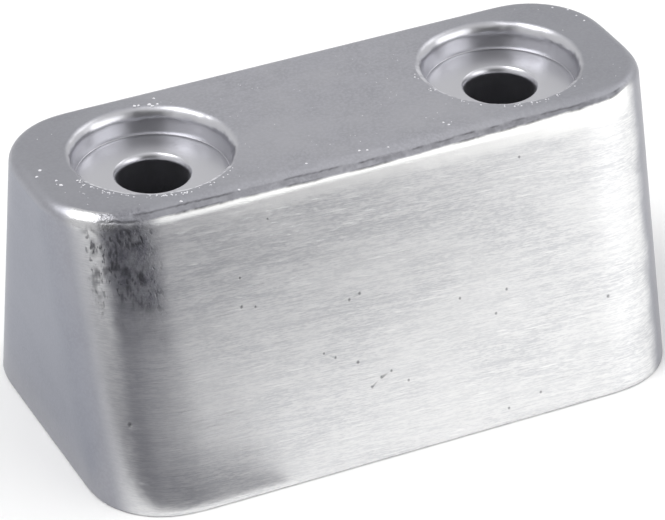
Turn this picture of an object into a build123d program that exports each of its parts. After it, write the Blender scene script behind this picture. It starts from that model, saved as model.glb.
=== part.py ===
from build123d import *
import math
import os

os.makedirs("parts", exist_ok=True)

# A cast sacrificial anode: one tapered block with two counterbored bolt holes.
# It stands on its mounting face, and the bolts go in from the narrow top.
# X runs along the block and -Y is the dressed long side. Sizes are in millimetres.

# The block at its top and at its mounting face, with each end leaning out from the base to the top
top_length = 64.8
end_lean = 0.8
top_width = 21.6
base_width = 38.0
block_height = 30.0

# Edges of the block
upright_edge_round = 8.0
top_edge_round = 1.3
base_edge_chamfer = 0.25

# The bolt holes, 38.1 mm apart, set in from the ends of the top
hole_end_distance = 13.35
bolt_hole_diameter = 7.0
bolt_exit_chamfer = 0.3

# The seat of each bolt head: a drafted wall, a flat floor and eased edges
seat_diameter = 15.2
seat_depth = 2.8
seat_wall_draft = 4.0
seat_lip_round = 1.1
seat_rim_chamfer = 0.5

# How far the cutter of a hole runs past both faces of the block
cut_clearance = 1.0

base_length = top_length - 2 * end_lean
hole_spacing = top_length - 2 * hole_end_distance
bolt_hole_radius = bolt_hole_diameter / 2
seat_radius = seat_diameter / 2
seat_wall_slope = math.tan(math.radians(seat_wall_draft))
seat_mouth_radius = seat_radius + (seat_depth + cut_clearance) * seat_wall_slope


def taper(base, top):
    """Closed outline of the block seen square on, from its base size to its top size."""
    return Polyline(
        (-base / 2, 0),
        (base / 2, 0),
        (top / 2, block_height),
        (-top / 2, block_height),
        close=True,
    )


def is_bore_edge(edge):
    """True for a circular edge where a bolt hole's wall ends."""
    return edge.geom_type == GeomType.CIRCLE and math.isclose(
        edge.radius, bolt_hole_radius, abs_tol=1e-4
    )


with BuildPart() as anode_block:
    # The long sides slope from a wide mounting face to a narrow top
    with BuildSketch(Plane.YZ):
        with BuildLine():
            taper(base_width, top_width)
        make_face()
    extrude(amount=max(base_length, top_length) / 2, both=True)

    # The ends lean out a little towards the top
    with BuildSketch(Plane.XZ):
        with BuildLine():
            taper(base_length, top_length)
        make_face()
    extrude(amount=max(base_width, top_width) / 2, both=True, mode=Mode.INTERSECT)

    # Broad rounds on the upright edges run into a soft cast edge around the top
    fillet(anode_block.edges().group_by(Axis.Z)[1], upright_edge_round)
    fillet(anode_block.faces().sort_by(Axis.Z)[-1].edges(), top_edge_round)
    chamfer(anode_block.faces().sort_by(Axis.Z)[0].edges(), base_edge_chamfer)

    # Each bolt hole is one turned profile: the seat's wall, its floor and the bore
    for hole_x in (-hole_spacing / 2, hole_spacing / 2):
        with BuildSketch(Plane((hole_x, 0, block_height), x_dir=(1, 0, 0), z_dir=(0, -1, 0))):
            with BuildLine():
                Polyline(
                    (0, cut_clearance),
                    (seat_mouth_radius, cut_clearance),
                    (seat_radius, -seat_depth),
                    (bolt_hole_radius, -seat_depth),
                    (bolt_hole_radius, -block_height - cut_clearance),
                    (0, -block_height - cut_clearance),
                    close=True,
                )
            make_face()
        revolve(axis=Axis((hole_x, 0, 0), (0, 0, 1)), mode=Mode.SUBTRACT)

    # The lip of each seat rolls over from the top face
    top_face = anode_block.faces().filter_by(Plane.XY).sort_by(Axis.Z)[-1]
    fillet([edge for lip in top_face.inner_wires() for edge in lip.edges()], seat_lip_round)

    # The bore is eased where it leaves the seat and where it leaves the mounting face
    bore_edges = anode_block.edges().filter_by(is_bore_edge).group_by(Axis.Z)
    chamfer(bore_edges[-1], seat_rim_chamfer)
    bore_edges = anode_block.edges().filter_by(is_bore_edge).group_by(Axis.Z)
    chamfer(bore_edges[0], bolt_exit_chamfer)

anode_block.part.label = "anode_block"
export_step(anode_block.part, "parts/anode_block.step")
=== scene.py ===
"""Looks of the cast sacrificial anode: its worn surface, its zinc finishes and a pale studio."""
import math
import random

import bpy
import numpy as np
from mathutils import Matrix, Vector, noise


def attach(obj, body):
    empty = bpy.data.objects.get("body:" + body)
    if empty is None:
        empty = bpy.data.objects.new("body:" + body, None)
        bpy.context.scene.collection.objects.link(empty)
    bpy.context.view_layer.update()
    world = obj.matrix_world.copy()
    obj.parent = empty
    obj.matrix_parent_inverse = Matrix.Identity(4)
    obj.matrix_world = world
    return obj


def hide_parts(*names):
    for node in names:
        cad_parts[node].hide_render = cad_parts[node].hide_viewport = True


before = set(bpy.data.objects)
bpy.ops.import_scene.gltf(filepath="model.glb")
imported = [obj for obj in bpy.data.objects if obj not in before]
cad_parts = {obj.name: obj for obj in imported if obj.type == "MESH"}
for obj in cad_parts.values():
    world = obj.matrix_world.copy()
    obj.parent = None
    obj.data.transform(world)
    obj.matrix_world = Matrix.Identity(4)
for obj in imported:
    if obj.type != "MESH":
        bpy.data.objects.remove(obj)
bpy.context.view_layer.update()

# Sizes are in millimetres and angles in degrees. X runs along the block and -Y is its dressed side.
# A facing of 0 is straight out from the dressed side, and 90 is straight out from the left end.
MM = 0.001

# The block, with the sizes of its CAD part
TOP_LENGTH = 64.8
TOP_WIDTH = 21.6
BASE_LENGTH = 63.2
BASE_WIDTH = 38.0
HEIGHT = 30.0
UPRIGHT_ROUND = 8.0
CAST_EDGE_ROUND = 1.3
BASE_EDGE = 0.25
SIDE_SLOPE = (BASE_WIDTH - TOP_WIDTH) / 2 / HEIGHT
END_SLOPE = (BASE_LENGTH - TOP_LENGTH) / 2 / HEIGHT

# The cast top lies this far under the CAD part's, so that the grains on it stand no higher
GRAIN_HEIGHT = 0.08
TOP_LEVEL = HEIGHT - GRAIN_HEIGHT

# Brushing by hand has eased the corners into the dressed side over this length, and less elsewhere
DRESSED_EASE = 6.0
CAST_EASE = 3.5

# The top edge rolls over tightly down to a tilt, and more broadly below it
DRESSED_EDGE = (2.2, 50.0, 2.4)
DRESSED_FLAT = -9.13
WORN_EDGE = (0.4, 20.0, 2.1)

# The bolt holes and the seats of their heads. A rolled edge lists the tilts it reaches and its radius there.
HOLE_SPACING = 38.1
BORE_RADIUS = 3.5
SEAT_RADIUS = 7.6
SEAT_DEPTH = 2.8 - GRAIN_HEIGHT
SEAT_DRAFT = 4.0
SEAT_LIP = ((20.0, 0.45), (50.0, 0.95), (90.0 - SEAT_DRAFT, 1.6))
BORE_RIM = ((42.0, 0.14), (72.0, 1.1), (90.0, 0.6))
CORNER_RELIEF = 0.06
LIP_WAVE = 0.09
BORE_EXIT = 0.3

# How finely the surface is divided, on the left and on the right of its middle
FRONT_STEPS = (84, 84)
FRONT_CORNER_STEPS = (72, 42)
END_STEPS = (34, 24)
BACK_CORNER_STEPS = (30, 26)
BACK_STEPS = (40, 40)
WALL_ROWS = 80
EDGE_ROWS = 34
TOP_ROWS = 4
TOP_ROW_GAP = 0.2
MIDDLE_STEPS = 44
GRAIN_STEPS = 8

# How near to the axis of a bolt hole the rows of the top may come: just outside its uneven lip
LIP_REACH = 8.8

# Slow waves that casting and brushing leave in the walls
WAVE_DEPTH = 0.035
WAVE_WIDTH = 6.5

# Pits in the dressed side: X, height above the base and radius. Their depth is a share of the radius.
PITS = (
    (-15.9, 21.7, 0.16), (-16.1, 18.9, 0.19), (-12.2, 26.6, 0.14), (-7.1, 11.5, 0.16), (-3.8, 17.2, 0.20),
    (-4.7, 10.5, 0.20), (-3.6, 7.7, 0.16), (-2.6, 8.2, 0.18), (-1.4, 8.5, 0.16), (0.4, 7.4, 0.16),
    (6.8, 13.9, 0.16), (10.4, 11.6, 0.16), (11.9, 13.6, 0.16), (15.0, 26.2, 0.16), (14.3, 2.4, 0.16),
    (10.6, 1.6, 0.16), (23.0, 10.1, 0.20), (-5.0, 16.7, 0.19), (-8.2, 12.0, 0.14), (-14.7, 18.6, 0.14),
    (-28.5, 9.3, 0.27),
)
PIT_DEPTH = 0.5
# Two rings of vertices round a pit are drawn in to these shares of its radius
PIT_RINGS = (0.75, 1.2)

# Pale grains that stick to the cast top: X, Y and radius
GRAINS = (
    (-30.3, 1.1, 0.19), (-31.0, 0.1, 0.15), (-29.6, -1.4, 0.15), (-29.5, -2.4, 0.20), (-25.7, -4.1, 0.16),
    (-20.3, -10.0, 0.15), (-14.4, -10.3, 0.15), (-6.8, -9.3, 0.13), (-1.2, -9.4, 0.15), (-0.4, -9.6, 0.13),
    (1.7, -9.9, 0.12), (8.5, -8.3, 0.14), (8.8, -8.9, 0.12), (29.0, 7.5, 0.12), (30.2, 6.4, 0.13),
    (30.4, 4.9, 0.12), (30.6, 3.6, 0.12), (-17.3, 8.4, 0.18), (-16.9, 8.3, 0.16), (-15.9, 8.0, 0.22),
    (-15.7, 7.7, 0.18), (-15.1, 7.7, 0.14), (-15.0, 8.9, 0.13),
)
SMALL_GRAINS = 70
SMALL_GRAIN_RADIUS = (0.035, 0.06)

# Burrs left along the lips of the seats: side, first and last facing from the axis, and how pale they are.
# Their grains lie about this far from the axis.
LIP_BURRS = ((-1, -42.0, 76.0, 1.0), (1, -42.0, 112.0, 0.6))
BURR_RINGS = slice(1, 9)
BURR_GRAINS = 54
BURR_REACH = 8.85

# A rough spot where the top edge meets the right front corner, also painted darker as shade
ROUGH_SPOT = (29.0, -9.8, 1.4)


def smooth(edge_0, edge_1, value):
    """0 below edge_0 and 1 above edge_1, with a soft step between; the edges may be in either order."""
    t = np.clip((value - edge_0) / (edge_1 - edge_0), 0.0, 1.0)
    return t * t * (3.0 - 2.0 * t)


def ripple(points, scale=1.0, seed=0.0):
    """Smooth noise from -1 to 1 at each point, with features about 1/scale millimetres wide."""
    offset = Vector((seed, seed * 1.7, seed * 2.3))
    flat = points.reshape(-1, 3)
    values = [noise.noise(Vector(p) * scale + offset) for p in flat]
    return np.array(values).reshape(points.shape[:-1])


class Surface:
    """Collects rings of vertices, the quads between them and the finish of each vertex."""

    # Some finishes paint light into the colour: shade in the creases, on the rough patch, in the nicks and
    # in the pits, and a highlight on the band below the dressed top edge.
    FINISHES = ("brushed", "filed", "seat", "worn", "crease", "patch", "nicked", "pit", "grain")

    def __init__(self):
        self.points = []
        self.count = 0
        self.quads = []
        self.finish = {name: [] for name in self.FINISHES}

    def add(self, points, **finish):
        """Adds vertices and returns their numbers in the shape of the grid."""
        points = np.asarray(points, float)
        shape = points.shape[:-1]
        total = int(np.prod(shape))
        self.points.append(points.reshape(-1, 3))
        for name in self.FINISHES:
            value = np.broadcast_to(finish.get(name, 0.0), shape)
            self.finish[name].append(value.reshape(-1))
        numbers = np.arange(self.count, self.count + total).reshape(shape)
        self.count += total
        return numbers

    def skin(self, rows):
        """Quads between successive closed rows of vertex numbers, which run clockwise seen from outside."""
        following = np.roll(rows, -1, axis=1)
        quads = np.stack([rows[1:], following[1:], following[:-1], rows[:-1]], axis=-1)
        self.quads.append(quads.reshape(-1, 4))

    def all_points(self):
        return np.concatenate(self.points)

    def mesh(self, name):
        mesh = bpy.data.meshes.new(name)
        mesh.from_pydata((self.all_points() * MM).tolist(), [], np.concatenate(self.quads).tolist())
        mesh.shade_smooth()
        for finish, values in self.finish.items():
            attribute = mesh.attributes.new(finish, "FLOAT", "POINT")
            attribute.data.foreach_set("value", np.concatenate(values).astype(np.float32))
        mesh.validate()
        return mesh


def side_columns(side):
    """Columns from mid-front by one end to mid-back. Side is 0 for the left and 1 for the right.

    A column's place at half sizes a and b is (fx * (a - rx) + ex * rx, fy * (b - ry) + ey * ry)."""
    columns = []
    for step in range(FRONT_STEPS[side]):
        columns.append((-step / FRONT_STEPS[side], -1.0, 0.0, -1.0))
    for step in range(FRONT_CORNER_STEPS[side]):
        turn = math.pi / 2 * step / FRONT_CORNER_STEPS[side]
        columns.append((-1.0, -1.0, -math.sin(turn), -math.cos(turn)))
    for step in range(END_STEPS[side]):
        columns.append((-1.0, -1.0 + 2.0 * step / END_STEPS[side], -1.0, 0.0))
    for step in range(BACK_CORNER_STEPS[side]):
        turn = math.pi / 2 * step / BACK_CORNER_STEPS[side]
        columns.append((-1.0, 1.0, -math.cos(turn), math.sin(turn)))
    for step in range(BACK_STEPS[side]):
        columns.append((-1.0 + step / BACK_STEPS[side], 1.0, 0.0, 1.0))
    if side:
        return [(-fx, fy, -ex, ey) for fx, fy, ex, ey in columns]
    return columns


def whole_outline():
    """All the columns, clockwise from above from mid-front, and the number of the one at mid-back."""
    left, right = side_columns(0), side_columns(1)
    middle_back = (0.0, 1.0, 0.0, 1.0)
    return np.array(left + [middle_back] + right[:0:-1]), len(left)


def eased(along, length):
    """How far a corner that starts to turn gradually lies inside one that starts at once, at this distance
    past its start."""
    ramp = np.clip(along + length / 2, 0.0, length) ** 3 / (6 * UPRIGHT_ROUND * length)
    arc = np.clip(along, 0.0, length / 2) ** 2 / (2 * UPRIGHT_ROUND)
    return ramp - arc


def outline_points(columns, height, inset):
    """Places of the columns at these heights, moved in from the sloping walls by the inset."""
    fx, fy, ex, ey = columns.T
    corner_y = UPRIGHT_ROUND / math.cos(math.atan(SIDE_SLOPE))
    straight_x = TOP_LENGTH / 2 + (HEIGHT - height) * END_SLOPE - UPRIGHT_ROUND
    straight_y = TOP_WIDTH / 2 + (HEIGHT - height) * SIDE_SLOPE - corner_y

    # Past the start of the corner on the long side, and past its start on the end
    turn = np.arctan2(np.abs(ex), np.abs(ey))
    past_side = np.where(np.abs(fx) < 1.0, (np.abs(fx) - 1.0) * straight_x, UPRIGHT_ROUND * turn)
    end_turn = math.pi / 2 - turn
    past_end = np.where(np.abs(fy) < 1.0, (np.abs(fy) - 1.0) * straight_y, UPRIGHT_ROUND * end_turn)
    side_ease = eased(past_side, np.where(fy < 0, DRESSED_EASE, CAST_EASE))
    end_ease = eased(past_end, CAST_EASE)
    end_share = smooth(0.0, math.pi / 2, turn)
    inset = inset + side_ease + (end_ease - side_ease) * end_share

    x = fx * straight_x + ex * (UPRIGHT_ROUND - inset)
    y = fy * straight_y + ey * (corner_y - inset)
    return np.stack([x, y, np.broadcast_to(height, x.shape)], axis=-1)


def facing_of(columns):
    return np.degrees(np.arctan2(-columns[:, 2], -columns[:, 3]))


def edge_profile(columns):
    """Tilts, heights and insets of the rows that turn each column's wall over into the flat top."""
    facing = facing_of(columns)
    front = columns[:, 1] < 0
    dressed = np.where(front, smooth(34.0, 8.0, np.abs(facing)), 0.0)
    worn = np.where(front, smooth(12.0, 30.0, facing) * smooth(74.0, 50.0, facing), 0.0)
    cast = 1.0 - dressed - worn
    tight = cast * CAST_EDGE_ROUND + dressed * DRESSED_EDGE[0] + worn * WORN_EDGE[0]
    until = (cast + worn) * WORN_EDGE[1] + dressed * DRESSED_EDGE[1]
    broad = cast * CAST_EDGE_ROUND + dressed * DRESSED_EDGE[2] + worn * WORN_EDGE[2]

    slope = np.abs(columns[:, 2]) * END_SLOPE + np.abs(columns[:, 3]) * SIDE_SLOPE
    wall_tilt = math.pi / 2 - np.arctan(slope)
    tilt = np.linspace(1.0, 0.0, EDGE_ROWS + 1)[:, None] * wall_tilt
    radius = tight + (broad - tight) * smooth(until - 6.0, until + 6.0, np.degrees(tilt))
    middle = (tilt[1:] + tilt[:-1]) / 2
    turn = tilt[:-1] - tilt[1:]
    step_radius = (radius[1:] + radius[:-1]) / 2
    start = np.zeros((1, len(columns)))
    rise = np.concatenate([start, np.cumsum(step_radius * np.sin(middle) * turn, axis=0)])
    run = np.concatenate([start, np.cumsum(step_radius * np.cos(middle) * turn, axis=0)])
    height = TOP_LEVEL - (rise[-1] - rise)
    inset = run - (height - height[0]) * slope
    return tilt, height, inset


def wall_grid(columns):
    """Points up the wall, over its top edge and a little way in over the top, with the tilt of each and how
    far in it is."""
    edge_tilt, edge_height, edge_inset = edge_profile(columns)
    count = len(columns)
    base_rows = [(0.0, BASE_EDGE), (0.03, BASE_EDGE * 0.52), (0.1, BASE_EDGE * 0.18), (BASE_EDGE, 0.0)]
    heights = [np.full(count, height) for height, inset in base_rows]
    insets = [np.full(count, inset) for height, inset in base_rows]
    for share in np.linspace(0.0, 1.0, WALL_ROWS + 1)[1:]:
        heights.append(BASE_EDGE + share * (edge_height[0] - BASE_EDGE))
        insets.append(np.zeros(count))
    heights.extend(edge_height[1:])
    insets.extend(edge_inset[1:])
    flat_edge = outline_points(columns, TOP_LEVEL, edge_inset[-1])
    spare = np.hypot(np.abs(flat_edge[:, 0]) - HOLE_SPACING / 2, flat_edge[:, 1]) - LIP_REACH
    inside = np.arange(1, TOP_ROWS + 1)[:, None] * np.minimum(TOP_ROW_GAP, 0.8 * spare / TOP_ROWS)
    for distance in inside:
        heights.append(np.full(count, TOP_LEVEL))
        insets.append(edge_inset[-1] + distance)
    wall_rows = len(base_rows) + WALL_ROWS
    wall_tilt = np.repeat(edge_tilt[:1], wall_rows, axis=0)
    tilt = np.concatenate([wall_tilt, edge_tilt[1:], np.zeros((TOP_ROWS, count))])
    inward = np.zeros((len(heights), count))
    inward[-TOP_ROWS:] = inside
    points = np.array([outline_points(columns, height, inset) for height, inset in zip(heights, insets)])
    return points, tilt, inward


def cold_folds(points, facing):
    """How deep in a fold of the cast skin each point lies, how rough that skin is and how nicked it is,
    each from 0 to 1. All three also set where shade is painted into the colour: in the folds, on the rough
    skin and in the nicks."""
    x, up = points[..., 0], points[..., 2]
    around = UPRIGHT_ROUND * np.radians(facing)
    along_folds = np.stack([around * 1.7 - up * 0.5, up * 0.8, np.zeros_like(up)], axis=-1)
    zone = smooth(-24.0, -25.5, x) * smooth(52.0, 38.0, facing)
    zone = zone * smooth(18.5, 24.0, up) * smooth(29.2, 28.2, up)
    broken = smooth(-0.25, 0.2, ripple(points, 0.55, 11.0))
    fold = smooth(0.26, 0.06, np.abs(ripple(along_folds, 1.0, 3.0))) * zone * broken
    nicked = smooth(-22.6, -25.0, x) * smooth(50.0, 42.0, facing)
    nicked = nicked * smooth(18.0, 23.0, up) * smooth(29.0, 28.0, up)
    nicked = nicked * smooth(-0.35, 0.1, ripple(points, 0.4, 18.0))
    rough = smooth(-22.6, -25.0, x) * smooth(38.0, 28.0, facing + 5.0 * ripple(points, 0.6, 16.0))
    rough = rough * smooth(14.5, 26.0, up + 3.0 * ripple(points, 0.3, 15.0)) * smooth(29.95, 29.8, up)
    rough = rough * (0.8 + 0.5 * ripple(points, 0.9, 5.0))
    return fold, rough, nicked


def edge_lines(points, tilt, inward, facing):
    """How deep in the two wavy lines along the dressed top edge each point lies, how little brushing has
    reached it there, and how strongly the band below is painted brighter as a highlight. The lines and the
    strip between them also carry painted shade."""
    tight, until, broad = DRESSED_EDGE
    past = np.radians(until) - tilt
    across = inward + np.where(past > 0, tight, broad) * past
    x = points[..., 0]
    line = np.stack([x, np.zeros_like(x), np.zeros_like(x)], axis=-1)
    slow, quick = ripple(line, 0.35, 2.0), ripple(line, 1.9, 4.0)
    left, right = np.minimum(x, 0.0), np.maximum(x, 0.0)
    upper = 0.32 - 0.016 * left + 0.008 * right + 0.10 * slow + 0.07 * quick
    lower = -0.35 - 0.0145 * left + 0.018 * right
    lower = lower + 0.08 * ripple(line, 0.5, 6.0) + 0.05 * ripple(line, 2.3, 7.0)
    upper_broken = 0.35 + 0.65 * smooth(-0.2, 0.25, ripple(line, 0.7, 8.0))
    lower_broken = 0.3 + 0.7 * smooth(-0.25, 0.2, ripple(line, 0.5, 9.0))
    upper_line = smooth(0.17, 0.03, np.abs(across - upper)) * upper_broken
    lower_line = smooth(0.20, 0.04, np.abs(across - lower)) * lower_broken
    between = smooth(upper + 0.05, upper - 0.1, across) * smooth(lower - 0.1, lower + 0.1, across)
    # Painted shade: the strip between the two lines is coloured darker, more so towards the right.
    strip = (0.42 + 0.008 * x + 0.34 * ripple(line, 1.1, 12.0)) * between
    along = smooth(40.0, 18.0, np.abs(facing))
    unbrushed = smooth(lower - 0.07, lower + 0.07, across) * along
    below = TOP_LEVEL - points[..., 2] + 0.25 * ripple(line, 0.6, 15.0) + 0.1 * ripple(line, 2.1, 16.0)
    # Painted highlight: the band just below the lower line is marked to be coloured almost white.
    filed = smooth(3.1, 1.9, below) * smooth(lower + 0.05, lower - 0.08, across)
    filed *= along * smooth(-30.0, -8.0, x)
    lines = np.clip(np.maximum(np.maximum(upper_line, lower_line), strip), 0.0, 1.0) * along
    return lines, unbrushed, filed


def press_pits(points, normals, pit):
    """Sinks each pit at the vertex nearest to it, draws in the two rings of vertices round it and marks the
    pit and its inner ring for painted shade.
    """
    for x, height, radius in PITS:
        distance = np.hypot(points[..., 0] - x, points[..., 2] - height) + 1000.0 * (points[..., 1] > 0)
        row, column = np.unravel_index(np.argmin(distance), distance.shape)
        centre = points[row, column].copy()
        for row_step in range(-2, 3):
            for column_step in range(-2, 3):
                spot = row + row_step, (column + column_step) % points.shape[1]
                ring = max(abs(row_step), abs(column_step))
                if ring:
                    reach = points[spot] - centre
                    length = np.linalg.norm(reach)
                    points[spot] = centre + reach / length * min(length, radius * PIT_RINGS[ring - 1])
                    pit[spot] = max(pit[spot], 0.5 if ring == 1 else 0.0)
        points[row, column] -= normals[row, column] * radius * PIT_DEPTH
        pit[row, column] = 1.0


def build_block():
    surface = Surface()
    columns, half = whole_outline()
    points, tilt, inward = wall_grid(columns)
    facing = np.broadcast_to(facing_of(columns), tilt.shape)
    front = columns[:, 1] < 0
    outward = np.broadcast_to(columns[:, 2:], tilt.shape + (2,))
    normals = np.concatenate([np.sin(tilt)[..., None] * outward, np.cos(tilt)[..., None]], axis=-1)

    # What wear, casting and brushing have done to the walls and edges, and where shade and a highlight are
    # painted on them
    dressed = front & (np.abs(facing) < 90.0)
    fold, rough, nicked = cold_folds(points, facing)
    lines, unbrushed, filed = edge_lines(points, tilt, inward, facing)
    lines = lines * dressed * (0.8 + 0.4 * ripple(points, 3.0, 14.0))
    fold, rough, nicked = fold * dressed, rough * dressed, nicked * dressed
    spot_x, spot_y, spot_radius = ROUGH_SPOT
    spot = smooth(spot_radius, 0.3 * spot_radius, np.hypot(points[..., 0] - spot_x, points[..., 1] - spot_y))
    spot = spot * smooth(60.0, 40.0, np.degrees(tilt)) * (0.8 + 0.6 * ripple(points, 2.0, 1.0))
    waves = (0.5 + 0.5 * ripple(points, 1.0 / WAVE_WIDTH)) * np.sin(tilt)
    sink = WAVE_DEPTH * waves + 0.03 * fold + 0.05 * lines + 0.05 * spot
    points = points - normals * sink[..., None]
    points[..., 2] = np.maximum(points[..., 2], 0.0)
    pit = np.zeros(tilt.shape)
    press_pits(points, normals, pit)

    tilt_degrees = np.degrees(tilt)
    unevenly = facing + 3.0 * ripple(points, 0.35, 17.0) + 2.0 * ripple(points, 1.5, 19.0)
    brushed = smooth(62.0, 34.0, facing) * smooth(-44.0, -28.0, unevenly)
    brushed = brushed * dressed * smooth(30.0, 50.0, tilt_degrees)
    brushed = brushed * (1.0 - np.clip(rough, 0.0, 1.0)) * (1.0 - unbrushed)
    worn = smooth(16.0, 30.0, facing) * smooth(64.0, 48.0, facing) * smooth(86.0, 60.0, tilt_degrees)
    worn = worn * smooth(10.0, 24.0, tilt_degrees) * dressed * (inward == 0)
    wall = surface.add(
        points,
        brushed=brushed,
        filed=filed * dressed,
        worn=worn,
        crease=np.clip(np.maximum(fold, lines), 0.0, 1.0),
        patch=np.clip(np.maximum(rough, spot), 0.0, 1.0),
        nicked=nicked,
        pit=pit,
    )
    surface.skin(wall)

    # Both flat faces meet along a line across the middle of the block
    top_ring, base_ring = wall[-1], wall[0]
    middles = []
    for ring in (top_ring, base_ring):
        ends = surface.all_points()[[ring[0], ring[half]]]
        share = np.linspace(0.0, 1.0, MIDDLE_STEPS + 1)[1:-1, None]
        middles.append(surface.add(ends[0] + (ends[1] - ends[0]) * share))

    for side in (-1, 1):
        add_hole(surface, side, half, top_ring, base_ring, middles)
    add_grains(surface)
    return surface


def half_loop(side, half, ring, middle):
    """The loop round one half of a flat face, clockwise from above."""
    if side < 0:
        return np.concatenate([ring[: half + 1], middle[::-1]])
    return np.concatenate([ring[half:], ring[:1], middle])


def rolled(turns, step=6.0):
    """The run, drop and tilt of points along an edge that rolls over from flat."""
    spots = [(0.0, 0.0, 0.0)]
    for last_tilt, radius in turns:
        run, drop, first_tilt = spots[-1]
        count = max(2, round((last_tilt - first_tilt) / step))
        for tilt in np.linspace(first_tilt, last_tilt, count + 1)[1:]:
            a, b = math.radians(first_tilt), math.radians(tilt)
            new_run = run + radius * (math.sin(b) - math.sin(a))
            new_drop = drop + radius * (math.cos(a) - math.cos(b))
            spots.append((new_run, new_drop, tilt))
    return spots


def seat_profile():
    """Radius, depth and finish of each ring down a bolt hole, from the lip to the mounting face."""
    draft = math.tan(math.radians(SEAT_DRAFT))
    lip = rolled(SEAT_LIP)
    lip_run, lip_drop, _ = lip[-1]
    mouth = SEAT_RADIUS + (SEAT_DEPTH - lip_drop) * draft
    profile = [(mouth + lip_run - run, drop, float(smooth(16.0, 50.0, tilt))) for run, drop, tilt in lip]
    for share in (0.2, 0.4, 0.6, 0.8):
        depth = lip_drop + share * (SEAT_DEPTH - lip_drop)
        profile.append((SEAT_RADIUS + (SEAT_DEPTH - depth) * draft, depth, 1.0))
    for inside, below in ((0.0, -0.03), (0.0, 1.0), (1.2, 1.0), (2.2, 0.0)):
        profile.append((SEAT_RADIUS - inside * CORNER_RELIEF, SEAT_DEPTH + below * CORNER_RELIEF, 1.0))
    rim = rolled(BORE_RIM)
    rim_run, rim_drop, _ = rim[-1]
    rim_radius = BORE_RADIUS + rim_run
    for share in (0.12, 0.3, 0.5, 0.7, 0.88):
        profile.append((SEAT_RADIUS - 0.2 + share * (rim_radius - SEAT_RADIUS + 0.2), SEAT_DEPTH, 1.0))
    profile.extend((rim_radius - run, SEAT_DEPTH + drop, 1.0) for run, drop, _ in rim)
    for below in (0.25, 0.6, 1.4, 4.0, 10.0, 18.0):
        profile.append((BORE_RADIUS, SEAT_DEPTH + rim_drop + below, max(0.4, 1.0 - 0.3 * below)))
    profile.append((BORE_RADIUS, TOP_LEVEL - BORE_EXIT, 0.0))
    profile.append((BORE_RADIUS + BORE_EXIT, TOP_LEVEL, 0.0))
    return profile


def lip_burr(side, outward, rings):
    """How pale the burr along a lip is, on its first rings."""
    facing = np.degrees(np.arctan2(-outward[:, 0], -outward[:, 1]))
    burr = np.zeros(rings.shape[:-1])
    dots = 0.5 + 0.5 * ripple(rings[0], 2.6, 21.0) + 0.25 * ripple(rings[0], 0.6, 23.0)
    for burr_side, first, last, strength in LIP_BURRS:
        if burr_side == side:
            along = smooth(first - 6.0, first + 6.0, facing) * smooth(last + 6.0, last - 6.0, facing)
            burr[BURR_RINGS] = 0.7 * strength * along * (0.35 + 0.65 * smooth(0.34, 0.60, dots))
    return burr


def add_hole(surface, side, half, top_ring, base_ring, middles):
    axis = np.array([side * HOLE_SPACING / 2, 0.0, 0.0])
    top_loop = half_loop(side, half, top_ring, middles[0])
    base_loop = half_loop(side, half, base_ring, middles[1])
    all_points = surface.all_points()
    reach = all_points[top_loop] - axis
    reach[:, 2] = 0.0
    outward = reach / np.linalg.norm(reach, axis=1)[:, None]

    radii, depths, seat = np.array(seat_profile()).T
    rings = axis + outward * radii[:, None, None]
    rings[..., 2] = TOP_LEVEL - depths[:, None]
    waves = ripple(rings, 0.45, 31.0) + 0.4 * ripple(rings, 1.4, 33.0)
    uneven = LIP_WAVE * smooth(SEAT_DEPTH, 0.5, depths)[:, None] * waves
    rings -= outward * uneven[..., None]
    hole = surface.add(rings, seat=seat[:, None], grain=lip_burr(side, outward, rings))

    # The flat top, from its outer rows in to the lip
    shares = np.array([0.06, 0.15, 0.26, 0.38, 0.5, 0.62, 0.74, 0.85, 0.94])[:, None, None]
    top = surface.add(all_points[top_loop] + (rings[0] - all_points[top_loop]) * shares)
    surface.skin(np.concatenate([top_loop[None], top, hole[:1]]))
    surface.skin(hole)

    # The mounting face, from the bore out to the base edge
    shares = np.array([0.15, 0.4, 0.7])[:, None, None]
    base = surface.add(rings[-1] + (all_points[base_loop] - rings[-1]) * shares)
    surface.skin(np.concatenate([hole[-1:], base, base_loop[None]]))


def top_height(x, y):
    """How high the top is at a place, which may be on the lip of a seat."""
    lip = rolled(SEAT_LIP)
    runs, drops = [spot[0] for spot in lip], [spot[1] for spot in lip]
    lip_radius = SEAT_RADIUS + (SEAT_DEPTH - drops[-1]) * math.tan(math.radians(SEAT_DRAFT)) + runs[-1]
    from_axis = math.hypot(abs(x) - HOLE_SPACING / 2, y)
    past_flat = min(max(0.0, DRESSED_FLAT - y), DRESSED_EDGE[0])
    rolled_off = DRESSED_EDGE[0] - math.sqrt(DRESSED_EDGE[0] ** 2 - past_flat ** 2)
    return TOP_LEVEL - float(np.interp(lip_radius - from_axis, runs, drops)) - rolled_off


def add_grain(surface, x, y, radius):
    """A low round grain, half sunk in the top."""
    level = top_height(x, y)
    scatter = random.Random(round(1000 * x))
    turns = np.linspace(0.0, 2 * math.pi, GRAIN_STEPS + 1)[:-1]
    uneven = [scatter.uniform(0.7, 1.25) for _ in turns]
    rings = []
    for rise in (-0.3, 0.35, 0.8, 1.0):
        wide = radius * math.sqrt(max(1.0 - rise * rise, 0.06))
        height = level + rise * min(GRAIN_HEIGHT, 0.8 * radius)
        reach = [(wide * k, -turn) for k, turn in zip(uneven, turns)]
        rings.append([(x + r * math.cos(a), y + r * math.sin(a), height) for r, a in reach])
    ring = surface.add(np.array(rings), grain=1.0)
    surface.skin(ring)
    below = np.array([[0, 1, 2, 3], [0, 3, 4, 7], [4, 5, 6, 7]])
    surface.quads.append(ring[0][below])
    surface.quads.append(ring[-1][below[:, ::-1]])


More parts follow.
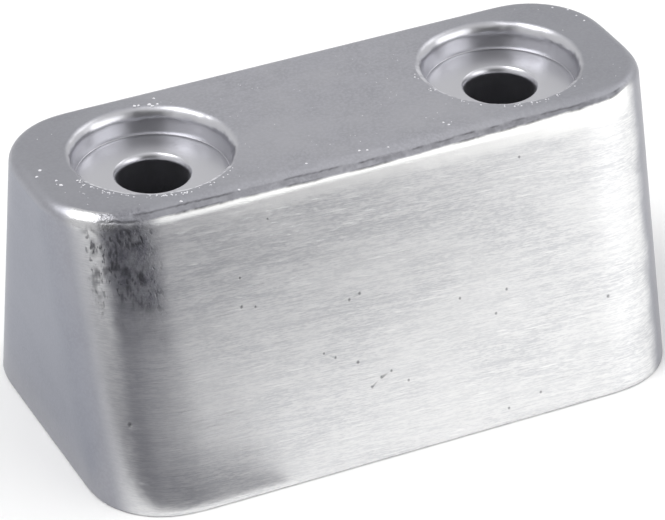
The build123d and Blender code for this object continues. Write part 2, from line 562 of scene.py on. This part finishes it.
def add_grains(surface):
    for x, y, radius in GRAINS:
        add_grain(surface, x, y, radius)
    scatter = random.Random(4)
    placed = 0
    while placed < SMALL_GRAINS:
        x = scatter.uniform(-30.0, 30.0)
        y = scatter.uniform(-9.6, 9.0)
        from_axis = math.hypot(abs(x) - HOLE_SPACING / 2, y)
        beyond_corner = math.hypot(max(0.0, abs(x) - 24.0), max(0.0, abs(y) - 2.6)) > 6.6
        thinned = scatter.random() < 0.3 + 0.7 * smooth(-10.0, -26.0, x) * smooth(2.0, -6.0, y)
        if from_axis > 9.0 and not beyond_corner and thinned:
            add_grain(surface, x, y, scatter.uniform(*SMALL_GRAIN_RADIUS))
            placed += 1
    for side, first, last, strength in LIP_BURRS:
        for _ in range(round(BURR_GRAINS * strength)):
            turn = math.radians(scatter.uniform(first, last))
            from_axis = BURR_REACH + scatter.triangular(-0.2, 0.5, 0.0)
            x = side * HOLE_SPACING / 2 - from_axis * math.sin(turn)
            y = -from_axis * math.cos(turn)
            add_grain(surface, x, y, scatter.uniform(0.05, 0.11))


def add_stage_sheet(name, corners, material):
    mesh = bpy.data.meshes.new(name)
    mesh.from_pydata([Vector(corner) * MM for corner in corners], [], [(0, 1, 2, 3)])
    mesh.materials.append(material)
    piece = bpy.data.objects.new(name, mesh)
    bpy.context.scene.collection.objects.link(piece)
    return piece


def matte(name, colour):
    material = bpy.data.materials.new(name)
    material.use_nodes = True
    shader = material.node_tree.nodes["Principled BSDF"]
    shader.inputs["Base Color"].default_value = colour
    shader.inputs["Roughness"].default_value = 0.9
    shader.inputs["Specular IOR Level"].default_value = 0.0
    return material


def level_sheet(left, right, near, far, height):
    """Corners of a sheet that lies flat."""
    return [(left, near, height), (right, near, height), (right, far, height), (left, far, height)]


# The floor reaches far out of the picture, and the cards stand or lie just above it
FLOOR_REACH = 4000.0
FLOOR_LEVEL = -0.02
CARD_LEVEL = 0.4

# A dark card stands before the left corner and thins out to the right, fast and then slowly. Its right end
# is lifted. A darker foot lies between it and the block, with a right edge that runs outwards.
DARK_CARD = (-105.0, 62.0)
DARK_CARD_OUT = (-20.5, -82.0)
DARK_FOOT_RIGHT = (-13.0, -3.0)
DARK_CARD_TALL = 46.0
DARK_CARD_LIFT = 12.0
DARK_CARD_THINS = ((-25.0, 70.0, 0.45), (30.0, 62.0, 0.5))
# A grey card lies on the floor beyond the left end
GREY_CARD = (-85.0, -33.5, -10.0, 70.0)


def make_floor():
    corners = level_sheet(-FLOOR_REACH, FLOOR_REACH, -FLOOR_REACH, FLOOR_REACH, FLOOR_LEVEL)
    add_stage_sheet("floor", corners, matte("studio_floor", (0.96, 0.96, 0.96, 1.0)))


def dark_paper():
    """Dark paper that lets more and more through towards the right."""
    material = bpy.data.materials.new("dark_card")
    material.use_nodes = True
    n = Nodes(material.node_tree)
    place = n.add("ShaderNodeTexCoord").outputs["Object"]
    across = n.add("ShaderNodeSeparateXYZ", {0: place}).outputs[0]
    thins = [n.soft_step(across, start * MM, end * MM, 0.0, share) for start, end, share in DARK_CARD_THINS]
    paper = n.add("ShaderNodeBsdfDiffuse", {"Color": (0.15, 0.15, 0.175, 1.0)}).outputs[0]
    clear = n.add("ShaderNodeBsdfTransparent").outputs[0]
    mixed = n.add("ShaderNodeMixShader", {0: n.math("ADD", *thins), 1: paper, 2: clear}).outputs[0]
    n.add("ShaderNodeOutputMaterial", {"Surface": mixed})
    return material


def make_cards():
    """Cards that a photographer sets round bright metal, seen only in its reflections."""
    left, right = DARK_CARD
    near, far = DARK_CARD_OUT
    foot_near, foot_far = DARK_FOOT_RIGHT
    upright = [(left, far, CARD_LEVEL), (right, far, DARK_CARD_LIFT)]
    upright += [(right, far, DARK_CARD_TALL), (left, far, DARK_CARD_TALL)]
    foot = [(left, near, CARD_LEVEL), (foot_near, near, CARD_LEVEL)]
    foot += [(foot_far, far, CARD_LEVEL), (left, far, CARD_LEVEL)]
    flat = level_sheet(*GREY_CARD, CARD_LEVEL)
    cards = [
        add_stage_sheet("dark_card", upright, dark_paper()),
        add_stage_sheet("dark_foot", foot, matte("dark_foot", (0.12, 0.12, 0.14, 1.0))),
        add_stage_sheet("grey_card", flat, matte("grey_card", (0.80, 0.82, 0.86, 1.0))),
    ]
    for card in cards:
        card.visible_camera = False
        card.visible_diffuse = False
        card.visible_shadow = False


class Nodes:
    """Short calls for building a node tree."""

    def __init__(self, tree):
        self.tree = tree
        tree.nodes.clear()

    def add(self, kind, inputs=(), **settings):
        node = self.tree.nodes.new(kind)
        for name, value in settings.items():
            setattr(node, name, value)
        for name, value in dict(inputs).items():
            self.feed(node.inputs[name], value)
        return node

    def feed(self, socket, value):
        if isinstance(value, bpy.types.NodeSocket):
            self.tree.links.new(value, socket)
        else:
            socket.default_value = value

    def math(self, operation, *values):
        node = self.tree.nodes.new("ShaderNodeMath")
        node.operation = operation
        for socket, value in zip(node.inputs, values):
            self.feed(socket, value)
        return node.outputs[0]

    def soft_step(self, value, start, end, low=0.0, high=1.0):
        node = self.tree.nodes.new("ShaderNodeMapRange")
        node.interpolation_type = "SMOOTHSTEP"
        inputs = {"Value": value, "From Min": start, "From Max": end, "To Min": low, "To Max": high}
        for name, number in inputs.items():
            self.feed(node.inputs[name], number)
        return node.outputs["Result"]

    def mix(self, share, first, second):
        node = self.tree.nodes.new("ShaderNodeMix")
        node.data_type = "RGBA"
        self.feed(node.inputs[0], share)
        self.feed(node.inputs[6], first)
        self.feed(node.inputs[7], second)
        return node.outputs[2]

    def blend(self, share, first, second):
        node = self.tree.nodes.new("ShaderNodeMix")
        self.feed(node.inputs[0], share)
        self.feed(node.inputs[2], first)
        self.feed(node.inputs[3], second)
        return node.outputs[0]

    def attribute(self, name):
        return self.add("ShaderNodeAttribute", attribute_name=name).outputs["Fac"]

    def noise(self, vector, scale=1.0, detail=2.0, roughness=0.5):
        inputs = {"Vector": vector, "Scale": scale, "Detail": detail, "Roughness": roughness}
        return self.add("ShaderNodeTexNoise", inputs).outputs["Fac"]

    def stretched(self, vector, scale, tilt=0.0):
        """The vector turned about Y by an angle and then stretched by 1 / scale."""
        rotation = (0.0, math.radians(tilt), 0.0)
        turned = self.add("ShaderNodeMapping", {"Vector": vector, "Rotation": rotation}).outputs[0]
        return self.add("ShaderNodeMapping", {"Vector": turned, "Scale": scale}).outputs[0]


# How high the finest relief stands: the grain of the cast skin, and the brush strokes
SAND_BUMP = 0.018
STROKE_BUMP = 0.010


def metal_material():
    material = bpy.data.materials.new("anode_zinc")
    material.use_nodes = True
    n = Nodes(material.node_tree)
    place = n.add("ShaderNodeTexCoord").outputs["Object"]
    mm = n.add("ShaderNodeMapping", {"Vector": place, "Scale": (1000.0, 1000.0, 1000.0)}).outputs[0]
    finishes = [n.attribute(name) for name in Surface.FINISHES]
    brushed, filed, seat, worn, crease, patch, nicked, pit, grain = finishes

    # Brush strokes run along the block and dip a little to the right: a soft bed of them, a crisp fine set
    # and a few single scratches, some at a slight angle to the rest
    bed = n.noise(n.stretched(mm, (0.10, 0.5, 2.2), -3.0), detail=4.0, roughness=0.7)
    fine = n.noise(n.stretched(mm, (0.55, 0.9, 8.5), -3.4), detail=2.0, roughness=0.6)
    scratch = n.noise(n.stretched(mm, (0.30, 0.7, 7.0), -2.0), detail=1.0)
    stray = n.noise(n.stretched(mm, (0.35, 0.7, 6.0), -9.0), detail=1.0)
    bright_scratch = n.soft_step(scratch, 0.66, 0.76)
    dark_scratch = n.soft_step(scratch, 0.34, 0.25)
    stray_scratch = n.soft_step(stray, 0.70, 0.78)
    nap = n.noise(n.stretched(mm, (1.7, 1.7, 8.0), -3.0), detail=2.0, roughness=0.6)
    lines = n.blend(0.36, n.blend(0.5, bed, fine), nap)
    clouds = n.noise(n.stretched(mm, (0.10, 0.2, 0.22), -8.0), detail=3.0, roughness=0.55)

    # The cast skin has a fine grain over a faint mottle
    sand = n.noise(mm, 3.2, 3.0, 0.65)
    mottle = n.noise(mm, 0.45, 3.0)

    cast = n.mix(n.soft_step(mottle, 0.3, 0.7), (0.38, 0.38, 0.412, 1.0), (0.415, 0.415, 0.45, 1.0))
    cast = n.mix(n.soft_step(sand, 0.38, 0.66, 0.0, 0.8), cast, (0.465, 0.465, 0.505, 1.0))
    bloom = n.noise(n.stretched(mm, (0.11, 0.11, 0.20)), detail=4.0, roughness=0.6)
    cast = n.mix(n.soft_step(bloom, 0.42, 0.66, 0.0, 0.45), cast, (0.48, 0.48, 0.51, 1.0))
    # Painted shade: the cast colour darkens towards both ends, standing in for the shadowed floor that the
    # ends reflect.
    from_middle = n.math("ABSOLUTE", n.add("ShaderNodeSeparateXYZ", {0: mm}).outputs[0])
    cast = n.mix(n.soft_step(from_middle, 6.0, 28.0, 0.0, 0.55), cast, (0.30, 0.305, 0.335, 1.0))
    strokes = n.mix(n.soft_step(lines, 0.41, 0.59), (0.63, 0.635, 0.65, 1.0), (0.82, 0.82, 0.82, 1.0))
    strokes = n.mix(n.soft_step(clouds, 0.35, 0.65, 0.0, 0.4), strokes, (0.87, 0.87, 0.865, 1.0))
    strokes = n.mix(n.math("MULTIPLY", bright_scratch, 0.7), strokes, (0.97, 0.97, 0.96, 1.0))
    strokes = n.mix(n.math("MULTIPLY", stray_scratch, 0.6), strokes, (0.97, 0.97, 0.96, 1.0))
    strokes = n.mix(n.math("MULTIPLY", dark_scratch, 0.3), strokes, (0.44, 0.44, 0.45, 1.0))
    # Painted highlight: the band below the dressed top edge is coloured almost white.
    strokes = n.mix(n.math("MULTIPLY", filed, 0.92), strokes, (0.985, 0.985, 0.97, 1.0))
    colour = n.mix(brushed, cast, strokes)
    colour = n.mix(seat, colour, (0.59, 0.59, 0.62, 1.0))
    colour = n.mix(worn, colour, (0.60, 0.60, 0.61, 1.0))
    # Painted shade: the rough unbrushed skin at the left front corner and at the rough spot is coloured far
    # darker than the cast skin, beyond its rougher relief.
    rough_skin = n.mix(n.soft_step(sand, 0.35, 0.65), (0.16, 0.16, 0.18, 1.0), (0.30, 0.30, 0.33, 1.0))
    colour = n.mix(n.math("MULTIPLY", patch, 0.72), colour, rough_skin)
    # Painted shade: the nicks are dark dashes of colour as well as shallow dents in the bump.
    dash = n.noise(n.stretched(mm, (2.3, 2.3, 0.8), 14.0), detail=2.0, roughness=0.5)
    dash = n.math("MULTIPLY", n.soft_step(dash, 0.56, 0.66), nicked)
    colour = n.mix(n.math("MULTIPLY", dash, 0.75), colour, (0.10, 0.10, 0.11, 1.0))
    # Painted shade: the folds at the left front corner, the two wavy lines along the dressed top edge and
    # the strip between them are coloured dark.
    colour = n.mix(n.math("MULTIPLY", crease, 0.85), colour, (0.10, 0.10, 0.11, 1.0))
    # Painted shade: each pit and the ring of vertices round it are coloured dark.
    colour = n.mix(n.math("MULTIPLY", pit, 0.9), colour, (0.12, 0.12, 0.13, 1.0))
    colour = n.mix(grain, colour, (0.82, 0.82, 0.85, 1.0))

    roughness = n.blend(brushed, 0.42, n.soft_step(lines, 0.35, 0.65, 0.30, 0.38))
    roughness = n.blend(seat, roughness, 0.28)
    roughness = n.blend(worn, roughness, 0.20)
    roughness = n.blend(grain, roughness, 0.6)
    metallic = n.soft_step(grain, 0.0, 1.0, 1.0, 0.1)

    sand_strength = n.blend(seat, n.blend(brushed, 1.0, 0.3), 0.35)
    sand_height = n.math("MULTIPLY", sand, n.math("ADD", sand_strength, n.math("MULTIPLY", patch, 2.5)))
    sand_height = n.math("SUBTRACT", sand_height, n.math("MULTIPLY", dash, 0.9))
    bump_inputs = {"Strength": 1.0, "Distance": SAND_BUMP * MM, "Height": sand_height}
    cast_bump = n.add("ShaderNodeBump", bump_inputs).outputs[0]
    cut = n.math("ADD", lines, n.math("MULTIPLY", dark_scratch, -0.5))
    cut = n.math("SUBTRACT", cut, n.math("MULTIPLY", stray_scratch, 0.5))
    cut = n.math("MULTIPLY", cut, brushed)
    bump_inputs = {"Strength": 1.0, "Distance": STROKE_BUMP * MM, "Height": cut, "Normal": cast_bump}
    bump = n.add("ShaderNodeBump", bump_inputs).outputs[0]

    shader_inputs = {"Base Color": colour, "Roughness": roughness, "Metallic": metallic, "Normal": bump}
    shader = n.add("ShaderNodeBsdfPrincipled", shader_inputs)
    n.add("ShaderNodeOutputMaterial", {"Surface": shader.outputs[0]})
    return material


# The studio: a pale room, dark behind the camera, with soft boxes of light.
# Each box is (facing, elevation, half width, half height, softness, brightness), and the overhead light is
# (facing, elevation, radius, softness, brightness).
ROOM_LEVEL = 0.82
DARK_SIDE = (12.0, 20.0, 30.0, 24.0, 10.0)
DARK_LEVEL = 0.16
SOFT_BOXES = (
    (-42.0, 10.0, 26.0, 25.0, 5.0, 1.0),
    (-50.0, 10.0, 16.0, 25.0, 6.0, 0.45),
    (-96.0, 40.0, 18.0, 13.0, 5.0, 1.3),
)
OVERHEAD = (92.0, 61.0, 18.0, 5.0, 3.3)


def make_world():
    world = bpy.data.worlds.new("studio")
    bpy.context.scene.world = world
    world.use_nodes = True
    n = Nodes(world.node_tree)
    direction = n.add("ShaderNodeTexCoord").outputs["Generated"]
    parts = n.add("ShaderNodeSeparateXYZ", {0: direction}).outputs
    azimuth = n.math("ARCTAN2", n.math("MULTIPLY", parts[0], -1.0), n.math("MULTIPLY", parts[1], -1.0))
    elevation = n.math("ARCSINE", parts[2])

    def window(centre, height, half_width, half_height, softness):
        aside = n.math("SUBTRACT", azimuth, math.radians(centre))
        aside = n.math("ABSOLUTE", n.math("WRAP", aside, math.pi, -math.pi))
        above = n.math("ABSOLUTE", n.math("SUBTRACT", elevation, math.radians(height)))
        soft = math.radians(softness)
        wide, tall = math.radians(half_width), math.radians(half_height)
        across = n.soft_step(aside, wide - soft, wide + soft, 1.0, 0.0)
        up = n.soft_step(above, tall - soft, tall + soft, 1.0, 0.0)
        return n.math("MULTIPLY", across, up)

    def disc(facing, height, radius, softness):
        turn, rise = math.radians(facing), math.radians(height)
        centre = (-math.sin(turn) * math.cos(rise), -math.cos(turn) * math.cos(rise), math.sin(rise))
        product = n.add("ShaderNodeVectorMath", {0: direction, 1: centre}, operation="DOT_PRODUCT")
        closeness = product.outputs["Value"]
        edge, rim = math.cos(math.radians(radius + softness)), math.cos(math.radians(radius - softness))
        return n.soft_step(closeness, edge, rim)

    level = n.blend(window(*DARK_SIDE), ROOM_LEVEL, DARK_LEVEL)
    for *box, brightness in SOFT_BOXES:
        level = n.math("ADD", level, n.math("MULTIPLY", window(*box), brightness))
    *overhead, brightness = OVERHEAD
    level = n.math("ADD", level, n.math("MULTIPLY", disc(*overhead), brightness))
    background = n.add("ShaderNodeBackground", {"Color": (1.0, 1.0, 1.0, 1.0), "Strength": level})
    n.add("ShaderNodeOutputWorld", {"Surface": background.outputs[0]})


# The camera stands where a perspective fit of the photograph puts it
CAMERA_TARGET = (-0.532, -1.407, 12.673)
CAMERA_AZIMUTH = -24.903
CAMERA_ELEVATION = 32.285
CAMERA_ROLL = -0.975
CAMERA_DISTANCE = 409.5
CAMERA_LENS = 220.0
SENSOR_WIDTH = 36.0


def make_camera():
    azimuth, elevation, roll = (math.radians(v) for v in (CAMERA_AZIMUTH, CAMERA_ELEVATION, CAMERA_ROLL))
    back = Vector((
        math.sin(azimuth) * math.cos(elevation),
        -math.cos(azimuth) * math.cos(elevation),
        math.sin(elevation),
    ))
    level_right = Vector((math.cos(azimuth), math.sin(azimuth), 0.0))
    level_up = back.cross(level_right)
    right = math.cos(roll) * level_right + math.sin(roll) * level_up
    up = back.cross(right)
    data = bpy.data.cameras.new("photo_camera")
    data.lens = CAMERA_LENS
    data.sensor_width = SENSOR_WIDTH
    data.clip_start = 0.01
    data.clip_end = 20.0
    camera = bpy.data.objects.new("photo_camera", data)
    place = (Vector(CAMERA_TARGET) + back * CAMERA_DISTANCE) * MM
    camera.matrix_world = Matrix.Translation(place) @ Matrix((right, up, back)).transposed().to_4x4()
    bpy.context.scene.collection.objects.link(camera)
    bpy.context.scene.camera = camera


block = bpy.data.objects.new("anode_casting", build_block().mesh("anode_casting"))
block.data.materials.append(metal_material())
bpy.context.scene.collection.objects.link(block)
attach(block, "root")
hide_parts("anode_block")

make_floor()
make_cards()
make_world()
make_camera()
bpy.context.scene.view_settings.view_transform = "Standard"
